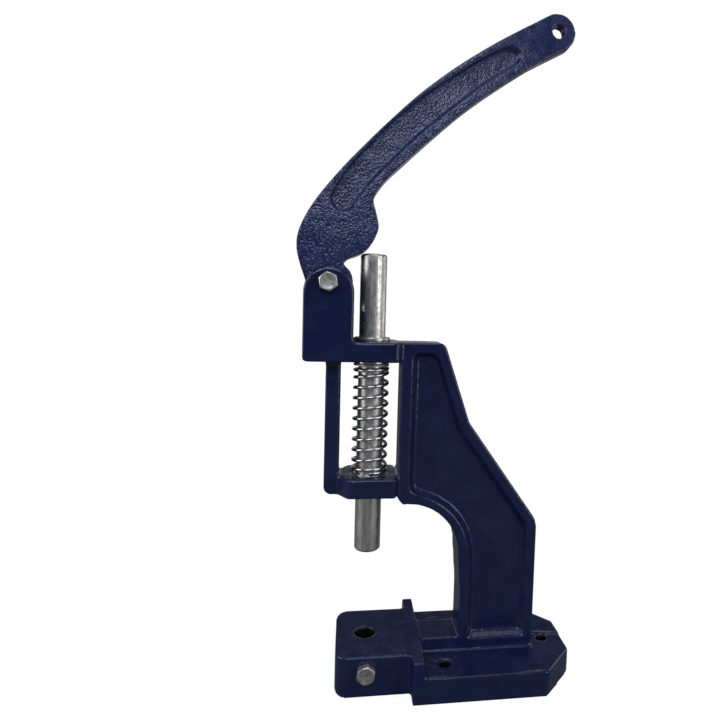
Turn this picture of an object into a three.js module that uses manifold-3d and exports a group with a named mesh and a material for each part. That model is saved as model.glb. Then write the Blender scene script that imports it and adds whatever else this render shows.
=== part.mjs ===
// Bench press for setting snaps, eyelets and rivets in leather.
//
// Millimetres. +Z is up. +X runs from the die anvil to the column. Work is fed in from -X.
// The ram and the die socket share the axis X = 0, Y = 0, and the underside of the base is Z = 0.
// The handle is modelled raised, where the return spring holds it. It swings down over the column.

import * as THREE from "three";
import { mergeVertices } from "three/addons/utils/BufferGeometryUtils.js";
import Module from "manifold-3d";

const wasm = await Module();
wasm.setup();

// ---------------------------------------------------------------- driving dimensions

const DEG = Math.PI / 180;
const GAP = 0.3;                 // clearance between pieces that touch
const ARC_STEPS = 8;             // each arc of an outline has twice this many chords

const RAM_DIAMETER = 12.7;       // half-inch bright bar
const RAM_BOTTOM = 62.6;
const RAM_TOP = 207.5;
const RAM_CHAMFER = 0.9;
const RAM_SOCKET = { diameter: 8, depth: 16 };

const BASE = { front: 21.3, chamferStart: 86.2, end: 102.3, halfWidth: 30.7, endHalfWidth: 12.7, top: 12.6 };
const ANVIL = { left: -14.4, halfWidth: 22.1, top: 19.2, corner: 7 };
const FENCE = { left: 21.3, right: 26.8, top: 20 };
const FOOT_RIB_TOP = 19.3;
const REAR_PAD_TOP = 13.3;
const DIE_SOCKET = { diameter: 10, floor: 3.5 };
const BOLT_HOLE_DIAMETER = 5.2;
const BOLT_HOLES = [[37.6, -19.5], [37.6, 19.5], [91.3, -2]];

const COLUMN = { halfWidth: 9, inner: 13.9, footInner: 46.2, right: 84.1, top: 165.8, topRight: 35.1 };
const THROAT = { x: 19, z: 61.6, radius: 25.6 };
const PANEL_DEPTH = 3.6;

const HEAD_HALF = 14.25;         // half width of the arm, the post and the guide
const HEAD_END = 13;             // where they step in to the narrower column
const HEAD_ROOT = 11;            // how far the column runs into them

const ARM = { left: -32.2, bottom: 156.4, top: 166 };
const GUIDE = { left: -15.1, bottom: 91.8, top: 101.1 };
const STRUT = { left: -21.7, right: -14.6, halfWidth: 6.25 };

const PIVOT = { x: -20.9, z: 193.3 };
const POST = { right: -9.1, archZ: 188.85 };
const HANDLE_HALF = 6;           // half thickness at the cam
const HANDLE_TIP_HALF = 2.7;
const HANDLE_TAPER_START = 222;
const HANDLE_TAPER_END = 330;
const HANDLE_BOSS = 11.1;
const POCKET_DEPTH = 2;
const SLOT_HALF = HANDLE_HALF + 0.5;
const SLOT_FLOOR = 180.5;

const BOLT = { shank: 4.9, hole: 5.5, acrossFlats: 8, head: 3.5 };
const CLAMP_SCREW_Z = 12.5;
const CLAMP_SCREW_TIP = -6.2;

const BUSH = { outer: 15.8, inner: 13, flange: 17.4, flangeTop: 1.4 };

const SPRING = { bottom: 101.4, top: 153.8, meanRadius: 7.95, wire: 1.7, turns: 11.4 };
const WASHER = { bottom: 154, top: 154.9, inner: 13.1, outer: 17.4 };
const CLIP = { bottom: 155.1, top: 156.1, inner: 11.4, outer: 16.4, opening: 70 };
const CLIP_GROOVE_DIAMETER = 11;

// ---------------------------------------------------------------- geometry helpers

// A closed geometry as a manifold solid. A mirrored or inward-facing one is turned right way out.
function solid(geometry) {
  const bare = geometry.clone();
  bare.deleteAttribute("normal");
  bare.deleteAttribute("uv");
  const merged = mergeVertices(bare, 1e-4);
  const corners = merged.attributes.position;
  const index = merged.index.array;
  const triangles = [];
  const a = new THREE.Vector3();
  const b = new THREE.Vector3();
  const c = new THREE.Vector3();
  let volume = 0;
  for (let i = 0; i < index.length; i += 3) {
    const [ia, ib, ic] = index.slice(i, i + 3);
    if (ia === ib || ib === ic || ic === ia) continue;
    a.fromBufferAttribute(corners, ia);
    b.fromBufferAttribute(corners, ib);
    c.fromBufferAttribute(corners, ic);
    volume += a.dot(b.cross(c)) / 6;
    triangles.push([ia, ib, ic]);
  }
  if (volume < 0) triangles.forEach((triangle) => triangle.reverse());
  const vertProperties = new Float32Array(corners.array);
  const triVerts = new Uint32Array(triangles.flat());
  return new wasm.Manifold(new wasm.Mesh({ numProp: 3, vertProperties, triVerts }));
}

// A manifold solid back as a geometry with flat-shaded normals.
function geometryOf(manifold) {
  const mesh = manifold.getMesh();
  const geometry = new THREE.BufferGeometry();
  geometry.setAttribute("position", new THREE.BufferAttribute(new Float32Array(mesh.vertProperties), 3));
  geometry.setIndex(new THREE.BufferAttribute(new Uint32Array(mesh.triVerts), 1));
  geometry.computeVertexNormals();
  return geometry;
}

function box(x0, x1, y0, y1, z0, z1) {
  const geometry = new THREE.BoxGeometry(x1 - x0, y1 - y0, z1 - z0);
  geometry.translate((x0 + x1) / 2, (y0 + y1) / 2, (z0 + z1) / 2);
  return solid(geometry);
}

// An outline drawn in X and Y, standing from z0 to z1.
function standing(shape, z0, z1) {
  const options = { depth: z1 - z0, bevelEnabled: false, curveSegments: ARC_STEPS };
  return solid(new THREE.ExtrudeGeometry(shape, options).translate(0, 0, z0));
}

// An outline drawn in X and Z, running from y0 to y1.
function crosswise(shape, y0, y1) {
  const options = { depth: y1 - y0, bevelEnabled: false, curveSegments: ARC_STEPS };
  const geometry = new THREE.ExtrudeGeometry(shape, options);
  return solid(geometry.rotateX(Math.PI / 2).translate(0, y1, 0));
}

function cylinderZ(diameter, x, y, z0, z1, sides = 40) {
  const geometry = new THREE.CylinderGeometry(diameter / 2, diameter / 2, z1 - z0, sides);
  geometry.rotateX(Math.PI / 2).translate(x, y, (z0 + z1) / 2);
  return solid(geometry);
}

function cylinderY(diameter, x, z, y0, y1, sides = 32) {
  const geometry = new THREE.CylinderGeometry(diameter / 2, diameter / 2, y1 - y0, sides);
  geometry.translate(x, (y0 + y1) / 2, z);
  return solid(geometry);
}

// A round body about the Z axis from a closed profile of [radius, z] pairs.
function turned(profile, sides = 40) {
  const points = profile.map(([radius, z]) => new THREE.Vector2(radius, z));
  return solid(new THREE.LatheGeometry(points, sides).rotateX(Math.PI / 2));
}

// A hexagonal prism along Y whose far end has its corners turned off by a 30 degree cone.
function hexagon(acrossFlats, y0, y1, spin) {
  const corner = acrossFlats / Math.sqrt(3);
  const prism = new THREE.CylinderGeometry(corner, corner, y1 - y0, 6);
  prism.rotateY(spin).translate(0, (y0 + y1) / 2, 0);
  const wide = corner + 0.5;
  const narrow = 0.47 * acrossFlats;
  const shoulder = y1 - (wide - narrow) * Math.tan(30 * DEG);
  const profile = [[0, y0 - 1], [wide, y0 - 1], [wide, shoulder], [narrow, y1], [0, y1]];
  const points = profile.map(([radius, y]) => new THREE.Vector2(radius, y));
  return solid(prism).intersect(solid(new THREE.LatheGeometry(points, 48)));
}

function outline(points) {
  return new THREE.Shape(points.map(([a, b]) => new THREE.Vector2(a, b)));
}

// A polygon whose named corners are rounded: each entry is [a, b] or [a, b, radius].
function rounded(points) {
  const shape = new THREE.Shape();
  points.forEach(([a, b, radius = 0], i) => {
    const corner = new THREE.Vector2(a, b);
    if (radius === 0) {
      if (i === 0) shape.moveTo(a, b);
      else shape.lineTo(a, b);
      return;
    }
    const before = new THREE.Vector2(...points[(i + points.length - 1) % points.length].slice(0, 2));
    const after = new THREE.Vector2(...points[(i + 1) % points.length].slice(0, 2));
    const inDirection = before.sub(corner).normalize();
    const outDirection = after.sub(corner).normalize();
    const half = inDirection.angleTo(outDirection) / 2;
    const reach = radius / Math.tan(half);
    const start = corner.clone().addScaledVector(inDirection, reach);
    const end = corner.clone().addScaledVector(outDirection, reach);
    if (i === 0) shape.moveTo(start.x, start.y);
    else shape.lineTo(start.x, start.y);
    const bisector = inDirection.clone().add(outDirection).normalize();
    const centre = corner.clone().addScaledVector(bisector, radius / Math.sin(half));
    const from = Math.atan2(start.y - centre.y, start.x - centre.x);
    const to = Math.atan2(end.y - centre.y, end.x - centre.x);
    const clockwise = inDirection.cross(outDirection) > 0;
    shape.absarc(centre.x, centre.y, radius, from, to, clockwise);
  });
  return shape;
}

function union(parts) {
  return parts.reduce((whole, part) => whole.add(part));
}

function cut(body, tools) {
  return tools.reduce((left, tool) => left.subtract(tool), body);
}

// ---------------------------------------------------------------- frame casting

function baseAndAnvil() {
  const slab = rounded([
    [BASE.front, -BASE.halfWidth],
    [BASE.chamferStart, -BASE.halfWidth, 3],
    [BASE.end, -BASE.endHalfWidth, 3],
    [BASE.end, BASE.endHalfWidth, 3],
    [BASE.chamferStart, BASE.halfWidth, 3],
    [BASE.front, BASE.halfWidth],
  ]);
  const anvil = rounded([
    [ANVIL.left, -ANVIL.halfWidth, ANVIL.corner],
    [FENCE.left + 1, -ANVIL.halfWidth],
    [FENCE.left + 1, ANVIL.halfWidth],
    [ANVIL.left, ANVIL.halfWidth, ANVIL.corner],
  ]);
  const rearPad = outline([
    [COLUMN.right - 1, 3.6],
    [BASE.end, 0.4],
    [BASE.end, BASE.endHalfWidth - 1],
    [BASE.chamferStart + 1, BASE.halfWidth - 2.5],
    [COLUMN.right - 1, BASE.halfWidth - 1.5],
  ]);
  return union([
    standing(slab, 0, BASE.top),
    standing(anvil, 0, ANVIL.top),
    box(FENCE.left, FENCE.right, -BASE.halfWidth, BASE.halfWidth, 0, FENCE.top),
    box(FENCE.left + 1, COLUMN.footInner, -COLUMN.halfWidth, COLUMN.halfWidth, 1, FOOT_RIB_TOP),
    standing(rearPad, BASE.top - 2, REAR_PAD_TOP),
  ]);
}

// The column's side view, from the throat up over the arm's root and down the sloping back.
function columnOutline() {
  const shape = new THREE.Shape();
  shape.moveTo(COLUMN.footInner - 1.6, 5);
  shape.lineTo(COLUMN.right, 5);
  shape.lineTo(COLUMN.right, 74);
  shape.quadraticCurveTo(COLUMN.right, 77.6, 82.1, 80.3);
  shape.lineTo(48.7, 126.5);
  shape.quadraticCurveTo(48, 127.5, 47.5, 129);
  shape.lineTo(35.9, 163);
  shape.quadraticCurveTo(COLUMN.topRight, COLUMN.top, 32.2, COLUMN.top);
  shape.lineTo(HEAD_ROOT, COLUMN.top);
  shape.lineTo(HEAD_ROOT, ARM.bottom + 0.2);
  shape.lineTo(COLUMN.inner, ARM.bottom + 0.2);
  shape.lineTo(COLUMN.inner, GUIDE.top - 0.2);
  shape.lineTo(HEAD_ROOT, GUIDE.top - 0.2);
  shape.lineTo(HEAD_ROOT, GUIDE.bottom + 0.2);
  shape.lineTo(COLUMN.inner - 1, GUIDE.bottom + 0.2);
  shape.lineTo(COLUMN.inner + 0.8, 89);
  shape.absarc(THROAT.x, THROAT.z, THROAT.radius, 96 * DEG, 0, true);
  shape.lineTo(COLUMN.footInner, 42);
  shape.lineTo(COLUMN.footInner, FOOT_RIB_TOP + 4);
  shape.quadraticCurveTo(COLUMN.footInner, FOOT_RIB_TOP, COLUMN.footInner - 1.6, FOOT_RIB_TOP - 0.2);
  return shape;
}

// The sunk panel on each side of the column. It follows the column's edge a rim's width inside.
function panelOutline() {
  const shape = new THREE.Shape();
  shape.moveTo(50.6, 17.9);
  shape.lineTo(80.4, 17.9);
  shape.lineTo(79.8, 71.5);
  shape.quadraticCurveTo(79.4, 76.2, 76.4, 80.2);
  shape.lineTo(43.9, 125);
  shape.lineTo(34.1, 155);
  shape.quadraticCurveTo(32.4, 161.4, 28, 161.4);
  shape.lineTo(23.6, 161.4);
  shape.quadraticCurveTo(19.3, 161.4, 19.3, 157);
  shape.lineTo(19, 97.5);
  shape.quadraticCurveTo(19, 92.6, 23.6, 91.4);
  shape.bezierCurveTo(37.4, 87.8, 50, 78, 50, 57);
  return shape;
}

// Cutter for a panel with drafted walls, in one side of the column.
function panelCutter(side) {
  const draft = 2.6;
  const options = {
    depth: 4,
    bevelEnabled: true,
    bevelThickness: PANEL_DEPTH,
    bevelSize: draft,
    bevelOffset: -draft,
    bevelSegments: 1,
    curveSegments: ARC_STEPS,
  };
  // The bevel at the far end is left outside the casting; the near bevel makes the drafted walls.
  const geometry = new THREE.ExtrudeGeometry(panelOutline(), options);
  geometry.rotateX(Math.PI / 2);
  geometry.scale(1, -side, 1);
  return solid(geometry).translate([0, side * COLUMN.halfWidth, 0]);
}

function armAndPost() {
  const shape = new THREE.Shape();
  const archRadius = (POST.right - ARM.left) / 2;
  shape.moveTo(ARM.left + 2.4, ARM.bottom);
  shape.lineTo(HEAD_END, ARM.bottom);
  shape.lineTo(HEAD_END, ARM.top);
  shape.lineTo(POST.right, ARM.top);
  shape.lineTo(POST.right, POST.archZ);
  shape.absarc(ARM.left + archRadius, POST.archZ, archRadius, 0, Math.PI, false);
  shape.lineTo(ARM.left, ARM.bottom + 2.4);
  shape.quadraticCurveTo(ARM.left, ARM.bottom, ARM.left + 2.4, ARM.bottom);
  const plan = rounded([
    [ARM.left - 1, -HEAD_HALF],
    [HEAD_END, -HEAD_HALF, 2.5],
    [HEAD_END, HEAD_HALF, 2.5],
    [ARM.left - 1, HEAD_HALF],
  ]);
  return crosswise(shape, -HEAD_HALF, HEAD_HALF).intersect(standing(plan, ARM.bottom - 1, PIVOT.z + 20));
}

function guideAndStrut() {
  const guide = rounded([
    [GUIDE.left, -STRUT.halfWidth],
    [-10.1, -HEAD_HALF, 2],
    [HEAD_END, -HEAD_HALF, 2.5],
    [HEAD_END, HEAD_HALF, 2.5],
    [-10.1, HEAD_HALF, 2],
    [GUIDE.left, STRUT.halfWidth],
  ]);
  const strut = rounded([
    [STRUT.left, GUIDE.bottom, 3.5],
    [-9, GUIDE.bottom],
    [-9, GUIDE.top],
    [STRUT.right, GUIDE.top],
    [STRUT.right, ARM.bottom + 1],
    [STRUT.left, ARM.bottom + 1],
  ]);
  return union([
    standing(guide, GUIDE.bottom, GUIDE.top),
    crosswise(strut, -STRUT.halfWidth, STRUT.halfWidth),
  ]);
}

function frameCasting() {
  const column = crosswise(columnOutline(), -COLUMN.halfWidth, COLUMN.halfWidth);
  const body = union([baseAndAnvil(), column, armAndPost(), guideAndStrut()]);
  const bushBore = BUSH.outer + 2 * GAP;
  return cut(body, [
    panelCutter(-1),
    panelCutter(1),
    cylinderZ(bushBore, 0, 0, GUIDE.bottom - 1, GUIDE.top + 1),
    cylinderZ(bushBore, 0, 0, ARM.bottom - 1, ARM.top + 1),
    box(ARM.left - 1, POST.right + 1, -SLOT_HALF, SLOT_HALF, SLOT_FLOOR, POST.archZ + 20),
    cylinderY(BOLT.hole, PIVOT.x, PIVOT.z, -20, 20),
    cylinderZ(DIE_SOCKET.diameter, 0, 0, DIE_SOCKET.floor, ANVIL.top + 1),
    cylinderY(BOLT.hole, 0, CLAMP_SCREW_Z, -ANVIL.halfWidth - 1, 0),
    ...BOLT_HOLES.map(([x, y]) => cylinderZ(BOLT_HOLE_DIAMETER, x, y, -1, BASE.top + 3, 24)),
  ]);
}

// ---------------------------------------------------------------- handle

// The handle's side view about its pivot: boss, cam lobe, neck, curved beam and round tip.
function handleOutline() {
  const underside = [
    [6.3, 9.2], [8.4, 11.4], [12.2, 12.9], [16, 15], [19.2, 18.6], [21.7, 23.4],
    [22.5, 27.6], [21, 34.1], [19.9, 38], [20.6, 42], [25.6, 49.2],
    [33.8, 57.5], [48.4, 71.7], [63.2, 85], [78.2, 96.5], [93.3, 107.1],
  ];
  const back = [
    [70.4, 113.4], [41.6, 91.3], [13.6, 63.1], [-4.6, 41.3], [-13.5, 25.9], [-15.1, 14.5], [-11.07, 0.77],
  ];
  const tip = { x: 107, z: 125.2, radius: 9 };
  const shape = new THREE.Shape();
  shape.absarc(0, 0, HANDLE_BOSS, 176 * DEG, 392 * DEG, false);
  shape.quadraticCurveTo(7.6, 7.2, ...underside[0]);
  shape.splineThru(underside.slice(1).map(([x, z]) => new THREE.Vector2(x, z)));
  shape.absarc(tip.x, tip.z, tip.radius, -58 * DEG, 122 * DEG, false);
  shape.splineThru(back.map(([x, z]) => new THREE.Vector2(x, z)));
  return shape;
}

function pocketOutline() {
  const upper = [[9.1, 56.2], [34.1, 83.5], [65.6, 107.2], [79.5, 115.4]];
  const lower = [[70, 95.9], [43, 72.7], [29.9, 59.4], [19.6, 48.2], [12.9, 39]];
  const shape = new THREE.Shape();
  shape.moveTo(0.6, 42.8);
  shape.splineThru(upper.map(([x, z]) => new THREE.Vector2(x, z)));
  shape.bezierCurveTo(85.6, 118.6, 93.6, 113.4, 87, 107.6);
  shape.splineThru(lower.map(([x, z]) => new THREE.Vector2(x, z)));
  shape.bezierCurveTo(8.6, 26.6, -4.6, 34.8, 0.6, 42.8);
  return shape;
}

function taperAngle() {
  return Math.atan2(HANDLE_HALF - HANDLE_TIP_HALF, HANDLE_TAPER_END - HANDLE_TAPER_START);
}

function pocketCutter(side) {
  const wall = 1.5;
  const options = {
    depth: 3,
    bevelEnabled: true,
    bevelThickness: POCKET_DEPTH,
    bevelSize: wall,
    bevelOffset: -wall,
    bevelSegments: 1,
    curveSegments: ARC_STEPS,
  };
  const geometry = new THREE.ExtrudeGeometry(pocketOutline(), options);
  geometry.rotateX(Math.PI / 2);
  geometry.scale(1, -side, 1);
  // Tilt it with the tapering face, about the line where the taper starts.
  const tilt = side * taperAngle() / DEG;
  const lift = HANDLE_TAPER_START - PIVOT.z;
  const upright = solid(geometry).translate([0, 0, -lift]);
  return upright.rotate([tilt, 0, 0]).translate([0, side * HANDLE_HALF, lift]);
}

function handleLever() {
  const low = HANDLE_TAPER_START - PIVOT.z;
  const high = HANDLE_TAPER_END - PIVOT.z;
  const below = -20;
  const above = high + 10;
  const topHalf = HANDLE_TIP_HALF - Math.tan(taperAngle()) * (above - high);
  const side = outline([
    [-HANDLE_HALF, below],
    [HANDLE_HALF, below],
    [HANDLE_HALF, low],
    [topHalf, above],
    [-topHalf, above],
    [-HANDLE_HALF, low],
  ]);
  const options = { depth: 200, bevelEnabled: false };
  const wedge = new THREE.ExtrudeGeometry(side, options);
  wedge.rotateX(Math.PI / 2).rotateZ(Math.PI / 2).translate(-50, 0, 0);
  const blank = crosswise(handleOutline(), -HANDLE_HALF, HANDLE_HALF).intersect(solid(wedge));
  return cut(blank, [
    pocketCutter(-1),
    pocketCutter(1),
    cylinderY(BOLT.hole, 0, 0, -10, 10),
    cylinderY(6.4, 107.6, 125.6, -10, 10),
  ]);
}

// ---------------------------------------------------------------- ram, bushes, spring

function ram() {
  const radius = RAM_DIAMETER / 2;
  const inner = radius - RAM_CHAMFER;
  const body = turned([
    [0, RAM_BOTTOM],
    [inner, RAM_BOTTOM],
    [radius, RAM_BOTTOM + RAM_CHAMFER],
    [radius, CLIP.bottom - 0.1],
    [CLIP_GROOVE_DIAMETER / 2, CLIP.bottom - 0.1],
    [CLIP_GROOVE_DIAMETER / 2, CLIP.top + 0.1],
    [radius, CLIP.top + 0.1],
    [radius, RAM_TOP - RAM_CHAMFER],
    [inner, RAM_TOP],
    [0, RAM_TOP],
  ], 48);
  const socket = cylinderZ(RAM_SOCKET.diameter, 0, 0, RAM_BOTTOM - 1, RAM_BOTTOM + RAM_SOCKET.depth, 32);
  return body.subtract(socket);
}

// A plain guide bush, its bore eased at the lower mouth.
function bush(bottom, top) {
  const inner = BUSH.inner / 2;
  const outer = BUSH.outer / 2;
  const ease = 0.5;
  return turned([
    [inner + ease, bottom],
    [outer, bottom],
    [outer, top],
    [inner, top],
    [inner, bottom + ease],
    [inner + ease, bottom],
  ], 48);
}

// The upper bush has a flange that stands on the arm.
function flangedBush() {
  const seat = ARM.top + GAP;
  const top = seat + BUSH.flangeTop;
  const flange = cylinderZ(BUSH.flange, 0, 0, seat, top, 48);
  const bore = cylinderZ(BUSH.inner, 0, 0, seat - 1, top + 1, 48);
  return bush(ARM.bottom, seat + 0.5).add(flange.subtract(bore));
}

// Height of the spring's centre line: close coils at both ends, even pitch between them.
function springHeight(turn) {
  const wire = SPRING.wire;
  const low = SPRING.bottom + wire / 2;
  const high = SPRING.top - wire / 2;
  const closePitch = wire + 0.15;
  const endTurns = 1.1;
  const freeTurns = SPRING.turns - 2 * endTurns;
  const freePitch = (high - low - 2 * endTurns * closePitch) / freeTurns;
  if (turn < endTurns) return low + turn * closePitch;
  if (turn > SPRING.turns - endTurns) return high - (SPRING.turns - turn) * closePitch;
  return low + endTurns * closePitch + (turn - endTurns) * freePitch;
}

class SpringCurve extends THREE.Curve {
  getPoint(t, target = new THREE.Vector3()) {
    const turn = t * SPRING.turns;
    const angle = 2 * Math.PI * turn - 90 * DEG;
    const radius = SPRING.meanRadius;
    return target.set(radius * Math.cos(angle), radius * Math.sin(angle), springHeight(turn));
  }
}

function returnSpring() {
  const section = new THREE.Shape();
  section.absarc(0, 0, SPRING.wire / 2, 0, 2 * Math.PI, false);
  const steps = Math.round(SPRING.turns * 18);
  const options = { extrudePath: new SpringCurve(), steps, curveSegments: 4, bevelEnabled: false };
  return new THREE.ExtrudeGeometry(section, options);
}

function springWasher() {
  const ring = cylinderZ(WASHER.outer, 0, 0, WASHER.bottom, WASHER.top, 48);
  return ring.subtract(cylinderZ(WASHER.inner, 0, 0, WASHER.bottom - 1, WASHER.top + 1, 48));
}

function retainingClip() {
  const shape = new THREE.Shape();
  const half = CLIP.opening / 2 * DEG;
  const outer = CLIP.outer / 2;
  const inner = CLIP.inner / 2;
  shape.absarc(0, 0, outer, half, 2 * Math.PI - half, false);
  shape.absarc(0, 0, inner, 2 * Math.PI - half, half, true);
  const options = { depth: CLIP.top - CLIP.bottom, bevelEnabled: false, curveSegments: 18 };
  return solid(new THREE.ExtrudeGeometry(shape, options).translate(0, 0, CLIP.bottom));
}

// ---------------------------------------------------------------- fasteners

// A hexagon-headed screw along Y, its head outside the face at y = face on the -Y side.
function hexScrew(face, tipY, spin) {
  const seat = face - GAP;
  const head = hexagon(BOLT.acrossFlats, 0, BOLT.head, spin).rotate([180, 0, 0]).translate([0, seat, 0]);
  const tipChamfer = 0.6;
  const shank = cylinderY(BOLT.shank, 0, 0, seat - 1, tipY - tipChamfer);
  const end = new THREE.CylinderGeometry(BOLT.shank / 2 - tipChamfer, BOLT.shank / 2, tipChamfer + 0.4, 32);
  end.translate(0, tipY - (tipChamfer + 0.4) / 2, 0);
  return union([head, shank, solid(end)]);
}

function pivotNut() {
  const seat = HEAD_HALF + GAP;
  const body = hexagon(BOLT.acrossFlats, seat, seat + 3.6, 0);
  const collar = cylinderY(7.7, 0, 0, seat + 2.6, seat + 5, 40);
  const insertSeat = cylinderY(6.8, 0, 0, seat + 3, seat + 4.6, 40);
  const hole = cylinderY(BOLT.shank + 2 * 0.2, 0, 0, seat - 1, seat + 8, 32);
  return cut(union([body, collar]), [insertSeat, hole]);
}

function lockInsert() {
  const start = HEAD_HALF + GAP + 3.2;
  const ring = cylinderY(6.4, 0, 0, start, start + 1.2, 40);
  return ring.subtract(cylinderY(BOLT.shank + 2 * 0.2, 0, 0, start - 1, start + 3, 32));
}

// ---------------------------------------------------------------- assembly

function finish(color, roughness, metalness) {
  return new THREE.MeshStandardMaterial({ color, roughness, metalness });
}

const enamel = () => finish(0x141a38, 0.3, 0.1);
const handleEnamel = () => finish(0x232850, 0.35, 0.15);
const brightSteel = () => finish(0xb8b6b0, 0.3, 1);
const springSteel = () => finish(0x9fa0a2, 0.25, 1);
const zincPlate = () => finish(0xc8c6be, 0.4, 0.9);
const nylon = () => finish(0xd8d8cc, 0.6, 0);
const bronze = () => finish(0xa8a59a, 0.4, 1);

const press = new THREE.Group();

function place(name, body, material, parent = press) {
  const geometry = body.isBufferGeometry ? body : geometryOf(body);
  const mesh = new THREE.Mesh(geometry, material);
  mesh.name = name;
  parent.add(mesh);
  return mesh;
}

const pivotGroup = new THREE.Group();
pivotGroup.position.set(PIVOT.x, 0, PIVOT.z);
press.add(pivotGroup);

const clampGroup = new THREE.Group();
clampGroup.position.set(0, 0, CLAMP_SCREW_Z);
press.add(clampGroup);

place("frame_casting", frameCasting(), enamel());
place("handle_lever", handleLever(), handleEnamel(), pivotGroup);
place("pivot_bolt", hexScrew(-HEAD_HALF, HEAD_HALF + GAP + 6.2, 8.5 * DEG), zincPlate(), pivotGroup);
place("pivot_nut", pivotNut(), zincPlate(), pivotGroup);
place("pivot_nut_insert", lockInsert(), nylon(), pivotGroup);
place("die_clamp_screw", hexScrew(-ANVIL.halfWidth, CLAMP_SCREW_TIP, -9 * DEG), zincPlate(), clampGroup);
place("ram", ram(), brightSteel());
place("upper_guide_bush", flangedBush(), bronze());
place("lower_guide_bush", bush(GUIDE.bottom, GUIDE.top), bronze());
place("return_spring", returnSpring(), springSteel());
place("spring_washer", springWasher(), zincPlate());
place("retaining_clip", retainingClip(), springSteel());

export default press;
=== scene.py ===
"""Looks for a hand lever press that sets snaps and rivets in leather.

Metres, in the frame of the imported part: +Z up, +X from the anvil to the column, and the
ram's axis at X = 0, Y = 0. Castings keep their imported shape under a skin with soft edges.
The bright parts are turned, coiled and cut again here with finer detail.
"""

import math

import bmesh
import bpy
from mathutils import Matrix, Vector


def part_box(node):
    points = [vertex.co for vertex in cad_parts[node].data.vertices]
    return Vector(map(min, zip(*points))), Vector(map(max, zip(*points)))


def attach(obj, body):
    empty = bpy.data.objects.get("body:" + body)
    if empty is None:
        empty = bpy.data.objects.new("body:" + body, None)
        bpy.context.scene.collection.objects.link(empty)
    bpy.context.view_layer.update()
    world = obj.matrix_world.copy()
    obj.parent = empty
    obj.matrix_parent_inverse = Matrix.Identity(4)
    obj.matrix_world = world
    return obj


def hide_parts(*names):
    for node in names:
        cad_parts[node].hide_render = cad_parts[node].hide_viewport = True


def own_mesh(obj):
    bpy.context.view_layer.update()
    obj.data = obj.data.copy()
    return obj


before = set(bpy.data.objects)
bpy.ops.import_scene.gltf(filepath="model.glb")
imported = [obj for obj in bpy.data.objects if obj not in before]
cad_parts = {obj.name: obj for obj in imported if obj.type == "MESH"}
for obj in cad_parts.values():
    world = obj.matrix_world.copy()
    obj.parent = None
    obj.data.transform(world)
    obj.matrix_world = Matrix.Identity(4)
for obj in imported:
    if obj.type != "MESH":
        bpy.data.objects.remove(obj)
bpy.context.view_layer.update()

MM = 0.001
SCENE = bpy.context.scene


# ---------------------------------------------------------------- camera, light and floor

CAMERA_PLACE = Vector((-11.4, -291.3, 184.7)) * MM
CAMERA_YAW = -0.15644
CAMERA_PITCH = 0.06542
CAMERA_ROLL = 0.03254
CAMERA_LENS = 29.847
CAMERA_SHIFT = (-0.1142, -0.0232)


def camera_axes():
    """Unit vectors to the right, up and back of the camera."""
    right = Vector((math.cos(CAMERA_YAW), math.sin(CAMERA_YAW), 0))
    level = Vector((-math.sin(CAMERA_YAW), math.cos(CAMERA_YAW), 0))
    ahead = level * math.cos(CAMERA_PITCH) - Vector((0, 0, 1)) * math.sin(CAMERA_PITCH)
    up = Vector((0, 0, 1)) * math.cos(CAMERA_PITCH) + level * math.sin(CAMERA_PITCH)
    rolled_right = right * math.cos(CAMERA_ROLL) + up * math.sin(CAMERA_ROLL)
    rolled_up = up * math.cos(CAMERA_ROLL) - right * math.sin(CAMERA_ROLL)
    return rolled_right, rolled_up, -ahead


def place_camera():
    data = bpy.data.cameras.new("camera")
    camera = bpy.data.objects.new("camera", data)
    SCENE.collection.objects.link(camera)
    turn = Matrix(camera_axes()).transposed().to_4x4()
    camera.matrix_world = Matrix.Translation(CAMERA_PLACE) @ turn
    data.sensor_width = 36
    data.lens = CAMERA_LENS
    data.shift_x, data.shift_y = CAMERA_SHIFT
    data.clip_start = 0.01
    SCENE.camera = camera


def softbox(name, place, target, width, height, power, tint=(1, 1, 1)):
    """A rectangular lamp at place that faces target."""
    data = bpy.data.lights.new(name, "AREA")
    data.shape = "RECTANGLE"
    data.size, data.size_y = width, height
    data.energy = power
    data.color = tint
    lamp = bpy.data.objects.new(name, data)
    SCENE.collection.objects.link(lamp)
    lamp.location = place
    lamp.rotation_euler = (Vector(target) - Vector(place)).to_track_quat("-Z", "Y").to_euler()
    lamp.visible_camera = False


def light_studio():
    middle = (0.02, 0, 0.15)
    softbox("key_left", (-0.95, -0.2, 0.42), middle, 0.6, 1.0, 5.5)
    softbox("front_high", (-0.2, -1.25, 0.98), (0, 0, 0.25), 0.9, 0.4, 7.5, (0.78, 0.86, 1))
    softbox("top_soft", (0.1, -0.25, 1.15), middle, 0.7, 0.5, 1.5)
    softbox("back_panel", (-0.1, 1.5, 0.22), middle, 2.4, 0.4, 1.5)
    softbox("back_high", (0.4, 1.15, 1.6), middle, 1.0, 0.5, 3)
    softbox("front_right", (0.85, -0.72, 0.4), middle, 0.65, 0.9, 4.2)
    softbox("far_right", (1.15, 0.35, 0.4), middle, 0.7, 0.9, 2)


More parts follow.
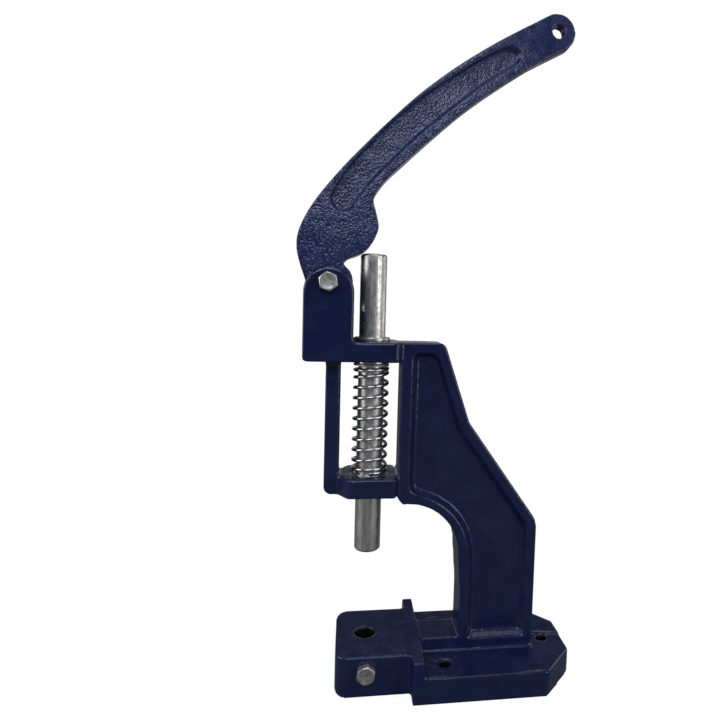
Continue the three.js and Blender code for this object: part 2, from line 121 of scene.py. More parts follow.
def white_surroundings():
    """White to look at, and dimmer as light on the press, so that dark enamel stays dark."""
    world = bpy.data.worlds.new("studio")
    SCENE.world = world
    world.use_nodes = True
    tree = world.node_tree
    tree.nodes.clear()
    seen = add(tree, "ShaderNodeBackground", {"Color": (1, 1, 1, 1), "Strength": 1.0})
    cast = add(tree, "ShaderNodeBackground", {"Color": (0.93, 0.96, 1, 1), "Strength": 0.06})
    path = add(tree, "ShaderNodeLightPath")
    choice = {0: path.outputs["Is Camera Ray"], 1: cast.outputs[0], 2: seen.outputs[0]}
    both = add(tree, "ShaderNodeMixShader", choice)
    add(tree, "ShaderNodeOutputWorld", {"Surface": both.outputs[0]})


def lay_floor():
    """A pale sheet that fades to white away from the press."""
    reach = 4.0
    corners = [(-reach, -reach, 0), (reach, -reach, 0), (reach, reach, 0), (-reach, reach, 0)]
    mesh = bpy.data.meshes.new("floor")
    mesh.from_pydata(corners, [], [(0, 1, 2, 3)])
    floor = bpy.data.objects.new("floor", mesh)
    SCENE.collection.objects.link(floor)
    material, tree, shader = blank_material("floor_paint")
    shade = add(tree, "ShaderNodeTexNoise", {"Scale": 3.0, "Detail": 2.0})
    tone = between(tree, shade.outputs["Fac"], (0.2, 0.2, 0.2, 1), (0.24, 0.24, 0.24, 1))
    tree.links.new(tone, shader.inputs["Base Color"])
    shader.inputs["Roughness"].default_value = 0.9
    shader.inputs["Specular IOR Level"].default_value = 0.1
    shader.inputs["Emission Color"].default_value = (1, 1, 1, 1)
    seen = add(tree, "ShaderNodeLightPath").outputs["Is Camera Ray"]
    length = add(tree, "ShaderNodeVectorMath", {0: object_place(tree)}, operation="LENGTH")
    glow = spread(tree, length.outputs["Value"], 0.35, 1.0, 0.9, 1.0)
    tree.links.new(maths(tree, "MULTIPLY", seen, glow), shader.inputs["Emission Strength"])
    mesh.materials.append(material)


# ---------------------------------------------------------------- shader tools

# Sockets of a colour Mix node, which has one set for each kind of data.
MIX_SHARE, MIX_LOW, MIX_HIGH, MIX_RESULT = 0, 6, 7, 2


def join(tree, value, socket):
    """Joins a socket to another node's output, or sets it to a plain value."""
    if isinstance(value, bpy.types.NodeSocket):
        tree.links.new(value, socket)
    else:
        socket.default_value = value


def add(tree, kind, inputs=None, **settings):
    """A node with its settings, its inputs set to values or joined to other nodes' outputs."""
    made = tree.nodes.new(kind)
    for name, value in settings.items():
        setattr(made, name, value)
    for key, value in (inputs or {}).items():
        join(tree, value, made.inputs[key])
    return made


def maths(tree, operation, a, b=0.0, clamp=False):
    return add(tree, "ShaderNodeMath", {0: a, 1: b}, operation=operation, use_clamp=clamp).outputs[0]


def between(tree, share, low, high):
    """A colour between low and high."""
    mixed = add(tree, "ShaderNodeMix", data_type="RGBA")
    for key, value in ((MIX_SHARE, share), (MIX_LOW, low), (MIX_HIGH, high)):
        join(tree, value, mixed.inputs[key])
    return mixed.outputs[MIX_RESULT]


def spread(tree, value, low, high, to_low=0.0, to_high=1.0):
    """Value from the range low..high, brought to to_low..to_high and held there."""
    inputs = {"Value": value, "From Min": low, "From Max": high, "To Min": to_low, "To Max": to_high}
    return add(tree, "ShaderNodeMapRange", inputs).outputs["Result"]


def blank_material(name):
    material = bpy.data.materials.new(name)
    material.use_nodes = True
    tree = material.node_tree
    shader = next(n for n in tree.nodes if n.type == "BSDF_PRINCIPLED")
    return material, tree, shader


def new_group(name, inputs, outputs):
    """An empty shader group with float inputs and the given outputs."""
    tree = bpy.data.node_groups.new(name, "ShaderNodeTree")
    for label, value in inputs.items():
        socket = tree.interface.new_socket(label, in_out="INPUT", socket_type="NodeSocketFloat")
        socket.default_value = value
    for label in outputs:
        tree.interface.new_socket(label, in_out="OUTPUT", socket_type="NodeSocketFloat")
    source = tree.nodes.new("NodeGroupInput").outputs
    sink = tree.nodes.new("NodeGroupOutput").inputs
    return tree, source, sink


def use_group(tree, group, **values):
    """The outputs of a group placed in a material. Underscores in the names stand for spaces."""
    made = add(tree, "ShaderNodeGroup", node_tree=group)
    for name, value in values.items():
        label = name.replace("_", " ").capitalize()
        join(tree, value, made.inputs[label])
    return made.outputs


def object_place(tree):
    return add(tree, "ShaderNodeTexCoord").outputs["Object"]


def scale_of(tree, size):
    """Texture scale at which one feature is about size millimetres across."""
    return maths(tree, "DIVIDE", 1000.0, size)


def noise(tree, place, scale, detail):
    inputs = {"Vector": place, "Scale": scale, "Detail": detail}
    return add(tree, "ShaderNodeTexNoise", inputs).outputs["Fac"]


def relief(tree, shader, strength, depth, height):
    """Raises the shader's surface by height times depth, in millimetres."""
    inputs = {"Strength": strength, "Distance": depth * MM, "Height": height}
    bump = add(tree, "ShaderNodeBump", inputs)
    tree.links.new(bump.outputs[0], shader.inputs["Normal"])


# ---------------------------------------------------------------- shader groups


def cast_skin_group():
    """Pebbled skin of enamel over a sand casting: shallow waves, pebbles and fine grit."""
    sizes = {"Pebble size": 2.4, "Grit size": 0.9, "Grit share": 0.3}
    tree, source, sink = new_group("cast_skin", sizes, ["Height", "Glint peaks", "Mottle"])
    place = object_place(tree)
    wave_scale = maths(tree, "DIVIDE", 260.0, source["Pebble size"])
    waves = noise(tree, place, wave_scale, 1.0)
    pebbles = noise(tree, place, scale_of(tree, source["Pebble size"]), 1.5)
    grains = {"Vector": place, "Scale": scale_of(tree, source["Grit size"]), "Smoothness": 0.7}
    cells = add(tree, "ShaderNodeTexVoronoi", grains, feature="SMOOTH_F1").outputs["Distance"]
    grit = maths(tree, "MULTIPLY", maths(tree, "SUBTRACT", 1.0, cells), source["Grit share"])
    swell = maths(tree, "MULTIPLY", waves, 1.2)
    height = maths(tree, "ADD", swell, maths(tree, "ADD", pebbles, grit))
    tree.links.new(height, sink["Height"])
    # The pebble tops: where painted glints go.
    tree.links.new(spread(tree, pebbles, 0.52, 0.74), sink["Glint peaks"])
    tree.links.new(spread(tree, waves, 0.3, 0.7), sink["Mottle"])
    return tree


def edge_wear_and_highlight_group():
    """Convex edges, broken up by noise: where hands and dies rub, and also a painted edge highlight.
    """
    reach = {"Start": 0.52, "End": 0.6, "Break up": 0.5, "Noise size": 4.0}
    tree, source, sink = new_group("edge_wear_and_highlight", reach, ["Mask"])
    sharp = add(tree, "ShaderNodeNewGeometry").outputs["Pointiness"]
    edge = spread(tree, sharp, source["Start"], source["End"])
    speckle = noise(tree, object_place(tree), scale_of(tree, source["Noise size"]), 4.0)
    broken = spread(tree, speckle, 0.35, 0.6)
    kept = maths(tree, "SUBTRACT", 1.0, source["Break up"])
    share = maths(tree, "ADD", kept, maths(tree, "MULTIPLY", broken, source["Break up"]))
    tree.links.new(maths(tree, "MULTIPLY", edge, share, clamp=True), sink["Mask"])
    return tree


def dust_group():
    """Fine dust on faces that look up, thicker in patches."""
    tree, source, sink = new_group("settled_dust", {"Amount": 0.3, "Patch size": 12.0}, ["Mask"])
    normal = add(tree, "ShaderNodeNewGeometry").outputs["Normal"]
    up = add(tree, "ShaderNodeSeparateXYZ", {0: normal}).outputs["Z"]
    drift = noise(tree, object_place(tree), scale_of(tree, source["Patch size"]), 5.0)
    patch = spread(tree, drift, 0.35, 0.75)
    facing = spread(tree, up, 0.6, 1.0)
    lying = maths(tree, "MULTIPLY", patch, facing)
    tree.links.new(maths(tree, "MULTIPLY", lying, source["Amount"]), sink["Mask"])
    return tree


def drawn_streaks_group():
    """Lengthwise streaks of drawn bar or the fine turning lines of a lathe, with patches for stains
    and rough spots.
    """
    scales = {"Across": 2400.0, "Along": 40.0, "Patch size": 5.0}
    tree, source, sink = new_group("metal_streaks", scales, ["Streaks", "Height", "Patches"])
    place = object_place(tree)
    parts = add(tree, "ShaderNodeSeparateXYZ", {0: place}).outputs
    stretched = {
        "X": maths(tree, "MULTIPLY", parts["X"], source["Across"]),
        "Y": maths(tree, "MULTIPLY", parts["Y"], source["Across"]),
        "Z": maths(tree, "MULTIPLY", parts["Z"], source["Along"]),
    }
    lines = noise(tree, add(tree, "ShaderNodeCombineXYZ", stretched).outputs[0], 1.0, 5.0)
    patches = noise(tree, place, scale_of(tree, source["Patch size"]), 6.0)
    tree.links.new(spread(tree, lines, 0.3, 0.7), sink["Streaks"])
    tree.links.new(lines, sink["Height"])
    tree.links.new(spread(tree, patches, 0.35, 0.68), sink["Patches"])
    return tree


def pits_group():
    """Small pits and dull spots, as on plated screws and stock bar."""
    tree, source, sink = new_group("pits", {"Pit size": 0.9, "Amount": 0.35}, ["Mask", "Height"])
    scale = scale_of(tree, source["Pit size"])
    place = object_place(tree)
    cells = add(tree, "ShaderNodeTexVoronoi", {"Vector": place, "Scale": scale}).outputs["Distance"]
    scatter = noise(tree, place, maths(tree, "MULTIPLY", scale, 0.35), 2.0)
    chosen = maths(tree, "LESS_THAN", scatter, maths(tree, "ADD", source["Amount"], 0.1))
    pit = maths(tree, "MULTIPLY", spread(tree, cells, 0.34, 0.12), chosen)
    tree.links.new(pit, sink["Mask"])
    tree.links.new(maths(tree, "SUBTRACT", 1.0, pit), sink["Height"])
    return tree


# ---------------------------------------------------------------- materials

DUST_COLOUR = (0.16, 0.16, 0.17, 1)
PIT_COLOUR = (0.12, 0.11, 0.1, 1)
# Strength of the bumps and of the painted glints above calm_to.
CALM_GRAIN = 0.25


def enamel(
    name, deep, light, worn_and_glint, pebble, grit, grit_share, depth, roughness, wear_and_highlight_share, glint_share,
    calm_from=1.0, calm_to=2.0,
):
    """Gloss enamel over a casting. Deep and light are its colours; the third is its colour on rubbed
    edges, which also serve as painted edge highlights, and on pebble tops as painted glints.

    The grain and the painted glints are full below the height calm_from, in metres, and weak above
    calm_to.
    """
    material, tree, shader = blank_material(name)
    skin = use_group(tree, GROUPS["skin"], Pebble_size=pebble, Grit_size=grit, Grit_share=grit_share)
    wear_and_highlight = use_group(tree, GROUPS["wear_and_highlight"], Start=0.505, End=0.58, Break_up=0.55, Noise_size=3.0)
    dust = use_group(tree, GROUPS["dust"], Amount=0.03, Patch_size=14.0)
    body = between(tree, skin["Mottle"], deep, light)
    height = add(tree, "ShaderNodeSeparateXYZ", {0: object_place(tree)}).outputs["Z"]
    strength = spread(tree, height, calm_from, calm_to, 1.0, CALM_GRAIN)
    painted_glints = maths(tree, "MULTIPLY", skin["Glint peaks"], maths(tree, "MULTIPLY", strength, glint_share))
    # Painted glints: the pebble tops tinted towards the lighter colour, in place of lamp glints on the
    # bumps.
    glinted = between(tree, painted_glints, body, worn_and_glint)
    # Convex edges tinted lighter: edge wear, and a painted edge highlight.
    edged = between(tree, maths(tree, "MULTIPLY", wear_and_highlight["Mask"], wear_and_highlight_share), glinted, worn_and_glint)
    dusty = between(tree, dust["Mask"], edged, DUST_COLOUR)
    tree.links.new(dusty, shader.inputs["Base Color"])
    rough = spread(tree, skin["Mottle"], 0.0, 1.0, roughness * 0.85, roughness * 1.2)
    tree.links.new(maths(tree, "ADD", rough, dust["Mask"]), shader.inputs["Roughness"])
    shader.inputs["Specular IOR Level"].default_value = 0.5
    relief(tree, shader, strength, depth, skin["Height"])
    return material


def metal(
    name, dark, bright, roughness, across, along, pit_amount, streak_depth, stain=0.35, patch=6.0
):
    """Bare or plated steel with streaks, patches of stain and small pits."""
    material, tree, shader = blank_material(name)
    streaks = use_group(tree, GROUPS["streaks"], Across=across, Along=along, Patch_size=patch)
    pits = use_group(tree, GROUPS["pits"], Pit_size=0.9, Amount=pit_amount)
    tone = between(tree, streaks["Streaks"], dark, bright)
    stained = between(tree, maths(tree, "MULTIPLY", streaks["Patches"], stain), tone, dark)
    pitted = between(tree, maths(tree, "MULTIPLY", pits["Mask"], 0.7), stained, PIT_COLOUR)
    tree.links.new(pitted, shader.inputs["Base Color"])
    shader.inputs["Metallic"].default_value = 1.0
    rough = spread(tree, streaks["Patches"], 0.0, 1.0, roughness * 0.8, roughness * 1.35)
    dulled = maths(tree, "MULTIPLY", pits["Mask"], 0.3)
    tree.links.new(maths(tree, "ADD", rough, dulled), shader.inputs["Roughness"])
    drawn = maths(tree, "MULTIPLY", streaks["Height"], streak_depth)
    relief(tree, shader, 1.0, 0.04, maths(tree, "ADD", drawn, pits["Height"]))
    return material


def nylon_material():
    material, tree, shader = blank_material("nylon")
    skin = use_group(tree, GROUPS["skin"], Pebble_size=0.6, Grit_size=0.3, Grit_share=0.2)
    tone = between(tree, skin["Mottle"], (0.55, 0.55, 0.48, 1), (0.72, 0.72, 0.65, 1))
    tree.links.new(tone, shader.inputs["Base Color"])
    tree.links.new(spread(tree, skin["Mottle"], 0.0, 1.0, 0.45, 0.6), shader.inputs["Roughness"])
    relief(tree, shader, 1.0, 0.02, skin["Height"])
    return material


GROUPS = {
    "skin": cast_skin_group(),
    "wear_and_highlight": edge_wear_and_highlight_group(),
    "dust": dust_group(),
    "streaks": drawn_streaks_group(),
    "pits": pits_group(),
}

FRAME_ENAMEL = enamel(
    "frame_enamel", (0.0045, 0.0095, 0.049, 1), (0.0068, 0.0125, 0.062, 1), (0.05, 0.06, 0.15, 1),
    pebble=2.4, grit=0.9, grit_share=0.2, depth=0.2, roughness=0.22, wear_and_highlight_share=0.04, glint_share=0.02,
)
# The handle's lighter third colour is mostly painted glints on its pebble tops.
HANDLE_ENAMEL = enamel(
    "handle_enamel", (0.010, 0.016, 0.072, 1), (0.017, 0.024, 0.095, 1), (0.14, 0.17, 0.33, 1),
    pebble=1.3, grit=0.8, grit_share=0.45, depth=0.3, roughness=0.22, wear_and_highlight_share=0.05, glint_share=0.4,
    calm_from=0.262, calm_to=0.312,
)
# Bare iron of the hole walls, near black: the darkness is painted shade of the deep holes.
BARE_IRON_AND_SHADE = metal(
    "bare_iron_painted_shade", (0.012, 0.012, 0.014, 1), (0.04, 0.038, 0.036, 1), 0.55,
    across=900.0, along=900.0, pit_amount=0.3, streak_depth=1.0,
)
DRAWN_STEEL = metal(
    "drawn_steel", (0.4, 0.39, 0.37, 1), (0.97, 0.96, 0.94, 1), 0.33,
    across=1100.0, along=60.0, pit_amount=0.4, streak_depth=1.6, stain=0.6, patch=3.0,
)
TURNED_STEEL = metal(
    "turned_steel", (0.4, 0.39, 0.37, 1), (0.68, 0.67, 0.64, 1), 0.3,
    across=200.0, along=5000.0, pit_amount=0.2, streak_depth=0.8,
)
SPRING_WIRE = metal(
    "spring_wire", (0.42, 0.42, 0.43, 1), (0.78, 0.78, 0.79, 1), 0.2,
    across=900.0, along=900.0, pit_amount=0.1, streak_depth=0.5,
)
ZINC_PLATE = metal(
    "zinc_plate", (0.36, 0.35, 0.32, 1), (0.92, 0.91, 0.88, 1), 0.42,
    across=500.0, along=500.0, pit_amount=0.38, streak_depth=0.8, stain=0.8, patch=1.7,
)
NYLON = nylon_material()


# ---------------------------------------------------------------- mesh tools


def show(name, mesh, material, body, slot, *nodes, smooth_below=40):
    """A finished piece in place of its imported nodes, riding on their body."""
    made = bpy.data.objects.new(name, mesh)
    SCENE.collection.objects.link(made)
    mesh.materials.clear()
    mesh.materials.append(material)
    for face in mesh.polygons:
        face.use_smooth = True
    if smooth_below < 180:
        mesh.set_sharp_from_angle(angle=math.radians(smooth_below))
    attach(made, body)
    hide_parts(*nodes)
    return made


def mesh_from(name, bm):
    bmesh.ops.recalc_face_normals(bm, faces=bm.faces)
    mesh = bpy.data.meshes.new(name)
    bm.to_mesh(mesh)
    bm.free()
    return mesh


def baked(name, mesh, modifiers):
    """The mesh with modifiers applied. Each modifier is (type, settings)."""
    holder = bpy.data.objects.new(name + "_work", mesh)
    SCENE.collection.objects.link(holder)
    for kind, settings in modifiers:
        modifier = holder.modifiers.new(kind.lower(), kind)
        for key, value in settings.items():
            setattr(modifier, key, value)
    graph = bpy.context.evaluated_depsgraph_get()
    done = bpy.data.meshes.new_from_object(holder.evaluated_get(graph))
    bpy.data.objects.remove(holder)
    done.name = name
    return done


def skinned_casting(node, voxel, passes, keep):
    """A packed casting under an even skin whose edges are rounded, thinned to a share of its faces."""
    return baked(
        node + "_skin",
        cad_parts[node].data.copy(),
        [
            ("REMESH", {"mode": "VOXEL", "voxel_size": voxel * MM, "use_smooth_shade": True}),
            ("SMOOTH", {"factor": 0.5, "iterations": passes}),
            ("DECIMATE", {"decimate_type": "COLLAPSE", "ratio": keep}),
        ],
    )


def turned_point(bm, radius, angle, height):
    """A new point at a radius, angle and height about the Z axis, in millimetres."""
    across = radius * MM
    return bm.verts.new((across * math.cos(angle), across * math.sin(angle), height * MM))


def wrap(bm, rings):
    """Bands of faces between rings of points. A ring of one point is a pole."""
    sides = max(len(ring) for ring in rings)
    for low, high in zip(rings, rings[1:]):
        for i in range(sides):
            j = (i + 1) % sides
            corners = [low[i % len(low)], low[j % len(low)], high[j % len(high)], high[i % len(high)]]
            corners = list(dict.fromkeys(corners))
            if len(corners) > 2:
                bm.faces.new(corners)


def cap(bm, rings):
    """Closes both ends of a run of rings."""
    bm.faces.new(rings[0])
    bm.faces.new(rings[-1])


def lathe(bm, profile, sides):
    """A closed turned ring from [radius, height] pairs in millimetres; radius 0 is a pole."""
    rings = []
    for radius, height in profile:
        count = sides if radius else 1
        angles = [2 * math.pi * i / sides for i in range(count)]
        rings.append([turned_point(bm, radius, angle, height) for angle in angles])
    wrap(bm, rings + rings[:1])


def rounded_corner(corner, start, end, steps=4):
    """Points of a quarter round from start to end about the sharp corner they flank."""
    points = []
    for i in range(steps + 1):
        t = i / steps
        a = (1 - t) ** 2
        b = 2 * t * (1 - t)
        c = t * t
        points.append([a * start[k] + b * corner[k] + c * end[k] for k in range(2)])
    return points


def ring_profile(inner, outer, bottom, top, ease):
    """Section of a ring whose four corners are eased. Each corner has four points."""
    corners = [(inner, bottom), (outer, bottom), (outer, top), (inner, top)]
    points = []
    for i, corner in enumerate(corners):
        before = Vector(corners[i - 1]) - Vector(corner)
        after = Vector(corners[(i + 1) % 4]) - Vector(corner)
        start = Vector(corner) + before.normalized() * ease
        end = Vector(corner) + after.normalized() * ease
        points += rounded_corner(corner, start, end, 3)
    return points


def node_span(node, axis):
    """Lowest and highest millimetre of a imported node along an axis."""
    low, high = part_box(node)
    return low[axis] / MM, high[axis] / MM


# ---------------------------------------------------------------- castings


# X, Y, a radius just outside the wall, and the height below which the wall is bare iron, coloured near
# black as painted shade of the deep hole.
SHADED_BARE_HOLES = (
    (37.6, -19.5, 2.9, 12.0),
    (37.6, 19.5, 2.9, 12.0),
    (91.3, -2.0, 2.9, 12.0),
    (0.0, 0.0, 5.3, 18.6),
)
SHADED_BARE_FROM = 0.5


def shade_bare_hole_walls(mesh):
    """Gives the walls of the drilled holes in the base their own material: unpainted iron, near black
    as painted shade inside the holes.
    """
    mesh.materials.append(BARE_IRON_AND_SHADE)
    for face in mesh.polygons:
        x, y, z = face.center
        for hole_x, hole_y, radius, rim in SHADED_BARE_HOLES:
            inside = math.hypot(x - hole_x * MM, y - hole_y * MM) < radius * MM
            if inside and SHADED_BARE_FROM * MM < z < rim * MM:
                face.material_index = 1


def build_castings():
    frame_skin = skinned_casting("frame_casting", 0.8, 3, 0.34)
    show(
        "frame_body", frame_skin, FRAME_ENAMEL, "frame", "frame_enamel", "frame_casting",
        smooth_below=180,
    )
    shade_bare_hole_walls(frame_skin)
    handle_skin = skinned_casting("handle_lever", 0.5, 1, 0.3)
    show(
        "handle_arm", handle_skin, HANDLE_ENAMEL, "handle", "handle_enamel", "handle_lever",
        smooth_below=180,
    )


# ---------------------------------------------------------------- ram, bushes and spring

RAM_RADIUS = 6.35
RAM_CHAMFER = 0.9
RAM_SOCKET_RADIUS = 4.0
RAM_SOCKET_DEPTH = 16.0
RAM_SOCKET_POINT = 1.8
RAM_SOCKET_BEVEL = (0.4, 0.5)
CLIP_GROOVE_RADIUS = 5.5
CLIP_PLAY = 0.1


def build_ram():
    bottom, top = node_span("ram", 2)
    clip_bottom, clip_top = node_span("retaining_clip", 2)
    bevel_width, bevel_height = RAM_SOCKET_BEVEL
    flat = RAM_RADIUS - RAM_CHAMFER
    ease = 0.15
    profile = [
        (0, bottom + RAM_SOCKET_DEPTH + RAM_SOCKET_POINT),
        (RAM_SOCKET_RADIUS, bottom + RAM_SOCKET_DEPTH),
        (RAM_SOCKET_RADIUS, bottom + bevel_height),
        (RAM_SOCKET_RADIUS + bevel_width, bottom),
        (flat - ease, bottom),
        (flat + ease, bottom + ease),
        (RAM_RADIUS - ease, bottom + RAM_CHAMFER - ease),
        (RAM_RADIUS, bottom + RAM_CHAMFER + ease),
        (RAM_RADIUS, clip_bottom - CLIP_PLAY),
        (CLIP_GROOVE_RADIUS, clip_bottom - CLIP_PLAY),
        (CLIP_GROOVE_RADIUS, clip_top + CLIP_PLAY),
        (RAM_RADIUS, clip_top + CLIP_PLAY),
        (RAM_RADIUS, top - RAM_CHAMFER - ease),
        (RAM_RADIUS - ease, top - RAM_CHAMFER + ease),
        (flat + ease, top - ease),
        (flat - ease, top),
        (0, top),
    ]
    bm = bmesh.new()
    lathe(bm, profile[::-1], 96)
    mesh = mesh_from("ram_bar", bm)
    show("ram_bar", mesh, DRAWN_STEEL, "ram_body", "bright_steel", "ram", smooth_below=25)


BUSH_BORE = 6.5
BUSH_BODY = 7.9
FLANGE_THICKNESS = 1.4


def flanged_profile(bottom, top, widest):
    """Section of the upper bush: a plain sleeve below a flange with rounded rims."""
    bore = BUSH_BORE
    flange = top - FLANGE_THICKNESS
    bevel = 0.2
    rim = 0.4
    sleeve_end = ring_profile(bore, BUSH_BODY, bottom, top, 0.3)[:8]
    under = [(BUSH_BODY, flange), (widest - bevel, flange), (widest, flange + bevel)]
    outer_rim = rounded_corner((widest, top), (widest, top - rim), (widest - rim, top))
    inner_rim = rounded_corner((bore, top), (bore + rim, top), (bore, top - rim))
    return sleeve_end + under + outer_rim + inner_rim


def build_bushes():
    for node in ("upper_guide_bush", "lower_guide_bush"):
        bottom, top = node_span(node, 2)
        if node == "upper_guide_bush":
            profile = flanged_profile(bottom, top, node_span(node, 0)[1])
        else:
            profile = ring_profile(BUSH_BORE, BUSH_BODY, bottom, top, 0.35)
        bm = bmesh.new()
        lathe(bm, profile, 96)
        mesh = mesh_from(node, bm)
        show(node + "_turned", mesh, TURNED_STEEL, "frame", "bush_steel", node, smooth_below=35)


SPRING_MEAN_RADIUS = 7.95
SPRING_WIRE_RADIUS = 0.85
SPRING_TURNS = 11.4
SPRING_END_TURNS = 1.1


def spring_height(turn, low, high):
    """Height of the wire's centre line: close coils at both ends and an even pitch between."""
    close_pitch = 2 * SPRING_WIRE_RADIUS + 0.15
    ends = SPRING_END_TURNS * close_pitch
    free_pitch = (high - low - 2 * ends) / (SPRING_TURNS - 2 * SPRING_END_TURNS)
    if turn < SPRING_END_TURNS:
        return low + turn * close_pitch
    if turn > SPRING_TURNS - SPRING_END_TURNS:
        return high - (SPRING_TURNS - turn) * close_pitch
    return low + ends + (turn - SPRING_END_TURNS) * free_pitch


def eased_height(turn, low, high):
    """The same height averaged over a short stretch, so that the pitch changes smoothly."""
    reach = 0.12
    samples = []
    for k in range(-3, 4):
        nearby = min(max(turn + reach * k / 3, 0), SPRING_TURNS)
        samples.append(spring_height(nearby, low, high))
    return sum(samples) / len(samples)


def build_spring():
    bottom, top = node_span("return_spring", 2)
    low, high = bottom + SPRING_WIRE_RADIUS, top - SPRING_WIRE_RADIUS
    steps = int(SPRING_TURNS * 48)
    sides = 16
    centres = []
    for i in range(steps + 1):
        turn = SPRING_TURNS * i / steps
        angle = 2 * math.pi * turn - math.pi / 2
        across = Vector((math.cos(angle), math.sin(angle), 0)) * SPRING_MEAN_RADIUS
        centres.append((across + Vector((0, 0, eased_height(turn, low, high)))) * MM)
    bm = bmesh.new()
    rings = []
    for i, centre in enumerate(centres):
        along = (centres[min(i + 1, steps)] - centres[max(i - 1, 0)]).normalized()
        outward = Vector((centre.x, centre.y, 0)).normalized()
        rise = along.cross(outward).normalized()
        ring = []
        for k in range(sides):
            angle = 2 * math.pi * k / sides
            offset = (outward * math.cos(angle) + rise * math.sin(angle)) * SPRING_WIRE_RADIUS * MM
            ring.append(bm.verts.new(centre + offset))
        rings.append(ring)
    wrap(bm, rings)
    cap(bm, rings)
    mesh = mesh_from("spring", bm)
    spring = show(
        "spring_coil", mesh, SPRING_WIRE, "frame", "spring_steel", "return_spring", smooth_below=50
    )
    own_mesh(spring)


WASHER_BORE = 6.55


def build_washer():
    bottom, top = node_span("spring_washer", 2)
    outer = node_span("spring_washer", 0)[1]
    bm = bmesh.new()
    lathe(bm, ring_profile(WASHER_BORE, outer, bottom, top, 0.25), 80)
    mesh = mesh_from("washer", bm)
    show("washer_plate", mesh, ZINC_PLATE, "ram_body", "zinc_plate", "spring_washer")


CLIP_INNER = 5.7
CLIP_OUTER = 8.2
CLIP_OPENING = math.radians(70)


def build_clip():
    """A C-shaped clip that springs into the ram's groove."""
    bottom, top = node_span("retaining_clip", 2)
    section = ring_profile(CLIP_INNER, CLIP_OUTER, bottom, top, 0.2)
    steps = 56
    bm = bmesh.new()
    rings = []
    for i in range(steps + 1):
        angle = CLIP_OPENING / 2 + (2 * math.pi - CLIP_OPENING) * i / steps
        rings.append([turned_point(bm, radius, angle, height) for radius, height in section])
    wrap(bm, rings)
    cap(bm, rings)
    mesh = mesh_from("clip", bm)
    show("clip_ring", mesh, SPRING_WIRE, "ram_body", "spring_steel", "retaining_clip")


# ---------------------------------------------------------------- screws and nut

HEX_FLATS = 8.0
HEAD_HEIGHT = 3.5
SCREW_RADIUS = 2.45
THREAD_PITCH = 0.8
THREAD_DEPTH = 0.26


def hex_radius(angle, spin):
    """Distance from the middle of a hexagon to its side, with its corners barely eased."""
    turn = (angle - spin) % (math.pi / 3)
    flat = HEX_FLATS / 2 / math.cos(turn - math.pi / 6)
    return min(flat, HEX_FLATS / math.sqrt(3) - 0.08)


def hex_head(bm, seat, top, spin, bore=0.0, both_ends=False):
    """A hexagon from seat to top with its corners turned off. spin is the angle of one corner.

    Without a bore it is a screw's head, closed at the seat and slightly dished on top.
    """
    sides = 96
    flat = 0.47 * HEX_FLATS
    slope = math.tan(math.radians(30))
    rise = 1 if top > seat else -1
    dish = 0.0 if bore else 0.25
    middle = bore or 0.4

    def round_ring(radius, height):
        angles = [2 * math.pi * i / sides + spin for i in range(sides)]
        return [turned_point(bm, radius, angle, height) for angle in angles]

    def hexagon(end, inward):
        """The outline at one end. Its corners fall back from end by the chamfer."""
        points = []
        for i in range(sides):
            angle = 2 * math.pi * i / sides + spin
            radius = hex_radius(angle, spin)
            height = end - inward * max(0.0, radius - flat) * slope
            points.append(turned_point(bm, radius, angle, height))
        return points

    rings = [round_ring(middle, seat)]
    if both_ends:
        rings.append(round_ring(flat, seat))
        rings.append(hexagon(seat, -rise))
    else:
        rings.append(hexagon(seat, 0))
    rings.append(hexagon(top, rise))
    rings.append(round_ring(flat, top))
    rings.append(round_ring(flat - 0.25, top))
    if not bore:
        rings.append(round_ring(flat - 0.9, top - rise * dish * 0.6))
        rings.append(round_ring(flat * 0.45, top - rise * dish))
    rings.append(round_ring(middle, top - rise * dish))
    if bore:
        wrap(bm, rings + rings[:1])
    else:
        wrap(bm, rings)
        cap(bm, rings)


def threaded_rod(bm, start, end, thread_from):
    """A round rod with a chamfered end and one helical thread from a height to that end."""
    sides = 40
    rows = max(8, int(abs(end - start) / THREAD_PITCH * 8))
    run_out = 0.6
    chamfer = 0.6
    rings = []
    for row in range(rows + 1):
        height = start + (end - start) * row / rows
        ring = []
        for i in range(sides):
            angle = 2 * math.pi * i / sides
            wave = abs(((height / THREAD_PITCH - i / sides) % 1.0) * 2 - 1)
            cut = max(0.0, min(1.0, (height - thread_from) / run_out))
            radius = SCREW_RADIUS - THREAD_DEPTH * wave * cut
            radius = min(radius, SCREW_RADIUS - chamfer + abs(end - height))
            ring.append(turned_point(bm, radius, angle, height))
        rings.append(ring)
    wrap(bm, rings)
    cap(bm, rings)


def stand_in_place(bm, node):
    """Turns a piece made along +Z to lie along +Y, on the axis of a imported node."""
    x, z = (sum(node_span(node, axis)) / 2 * MM for axis in (0, 2))
    place = Matrix.Translation((x, 0, z)) @ Matrix.Rotation(-math.pi / 2, 4, "X")
    bmesh.ops.transform(bm, matrix=place, verts=bm.verts)


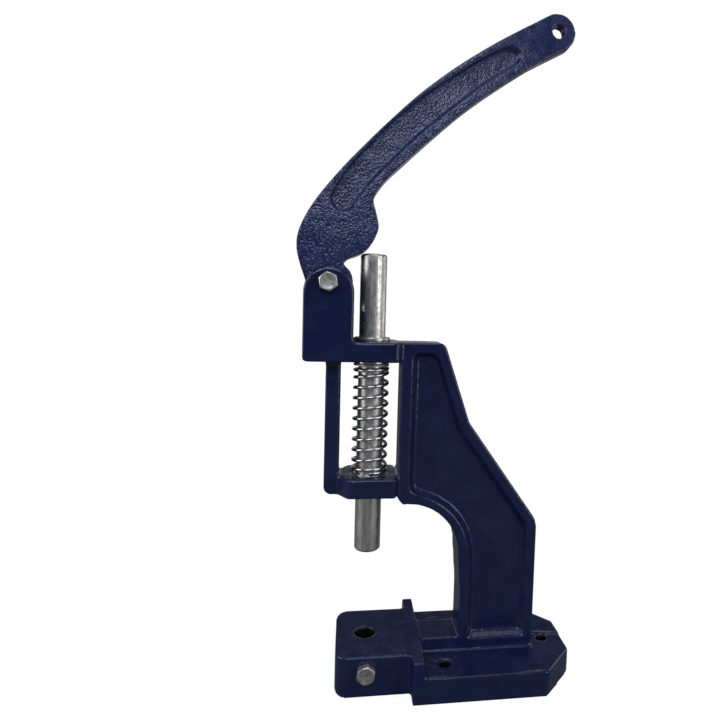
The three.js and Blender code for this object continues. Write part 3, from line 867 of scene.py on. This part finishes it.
# Node, piece, body, angle of one corner of the head, and length of thread.
SCREWS = (
    ("pivot_bolt", "pivot_screw", "frame", math.radians(98.5), 8.0),
    ("die_clamp_screw", "clamp_screw_piece", "clamp_screw", math.radians(81), 14.0),
)


def build_screws():
    for node, name, body, spin, thread_length in SCREWS:
        start, end = node_span(node, 1)
        seat = start + HEAD_HEIGHT
        bm = bmesh.new()
        hex_head(bm, seat, start, -spin)
        threaded_rod(bm, seat - 0.2, end, end - thread_length)
        stand_in_place(bm, node)
        mesh = mesh_from(name, bm)
        show(name, mesh, ZINC_PLATE, body, "zinc_plate", node, smooth_below=28)


NUT_BORE = 2.65
NUT_HEX_HEIGHT = 3.6
NUT_COLLAR_RADIUS = 3.85
NUT_LOCK_RING_OUTER = 3.2


def build_nut():
    """The lock nut: a hexagon with a rolled collar that holds the nylon ring."""
    start, end = node_span("pivot_nut", 1)
    rim = NUT_COLLAR_RADIUS
    foot = start + NUT_HEX_HEIGHT - 0.1
    bm = bmesh.new()
    hex_head(bm, start, start + NUT_HEX_HEIGHT, math.radians(30), bore=NUT_BORE, both_ends=True)
    collar = [(3.42, foot), (rim, foot)]
    collar += rounded_corner((rim, end), (rim, end - 0.6), (3.4, end))
    collar += [(3.15, end - 0.1), (3.15, end - 0.36), (3.42, end - 0.42)]
    lathe(bm, collar, 72)
    stand_in_place(bm, "pivot_nut")
    mesh = mesh_from("lock_nut", bm)
    show("lock_nut", mesh, ZINC_PLATE, "frame", "zinc_plate", "pivot_nut", smooth_below=28)
    start, end = node_span("pivot_nut_insert", 1)
    bm = bmesh.new()
    lathe(bm, ring_profile(NUT_BORE, NUT_LOCK_RING_OUTER, start, end, 0.12), 64)
    stand_in_place(bm, "pivot_nut")
    mesh = mesh_from("nut_lock_ring", bm)
    show("nut_lock_ring", mesh, NYLON, "frame", "nylon", "pivot_nut_insert")


# ---------------------------------------------------------------- make it

place_camera()
white_surroundings()
light_studio()
lay_floor()
SCENE.view_settings.view_transform = "Standard"

build_castings()
build_ram()
build_bushes()
build_spring()
build_washer()
build_clip()
build_screws()
build_nut()
